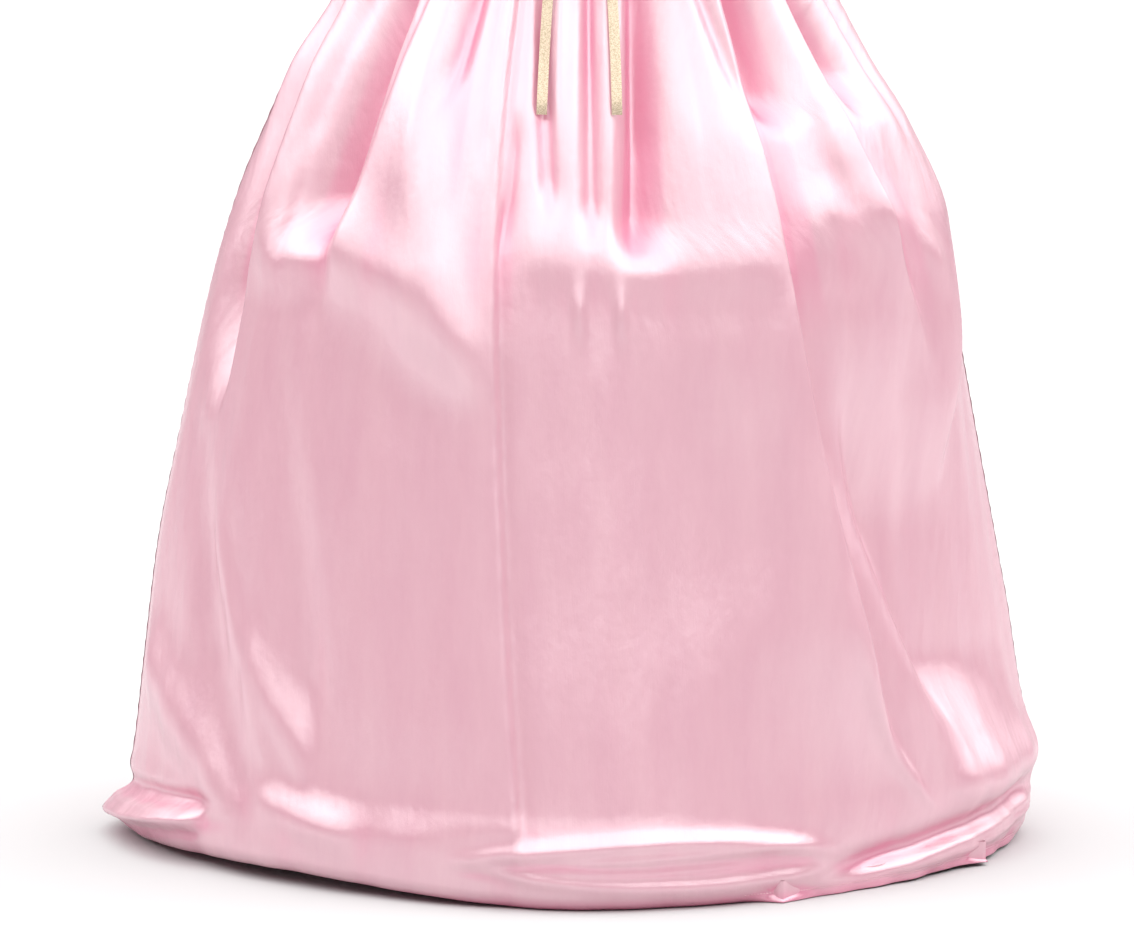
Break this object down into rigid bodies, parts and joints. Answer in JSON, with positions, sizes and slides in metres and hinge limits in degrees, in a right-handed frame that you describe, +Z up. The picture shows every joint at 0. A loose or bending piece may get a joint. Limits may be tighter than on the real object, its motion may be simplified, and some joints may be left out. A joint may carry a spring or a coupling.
{
  "type": "princess costume dress",
  "caption": "Floor-length gathered satin costume dress with a fitted sleeveless bodice, full skirt and ribbon waist tie, worn hollow form.",
  "frame": {"origin": "midway between the two shoulder seams, where the wearer's shoulders hold the dress", "axes": "+Z up, front towards -Y, the wearer's left at +X"},
  "size_m": [0.9213, 0.934, 1.45],
  "materials": {
    "satin": "glossy woven satin",
    "gold_ribbon": "pale gold glitter ribbon"
  },
  "bodies": {
    "root": {"bodice_front": "satin", "bodice_back_left": "satin", "bodice_back_right": "satin", "skirt_front": "satin", "skirt_back_left": "satin", "skirt_back_right": "satin", "waist_ribbon": "gold_ribbon", "ribbon_knot": "gold_ribbon", "ribbon_tail_left": "gold_ribbon", "ribbon_tail_right": "gold_ribbon"}
  },
  "joints": []
}
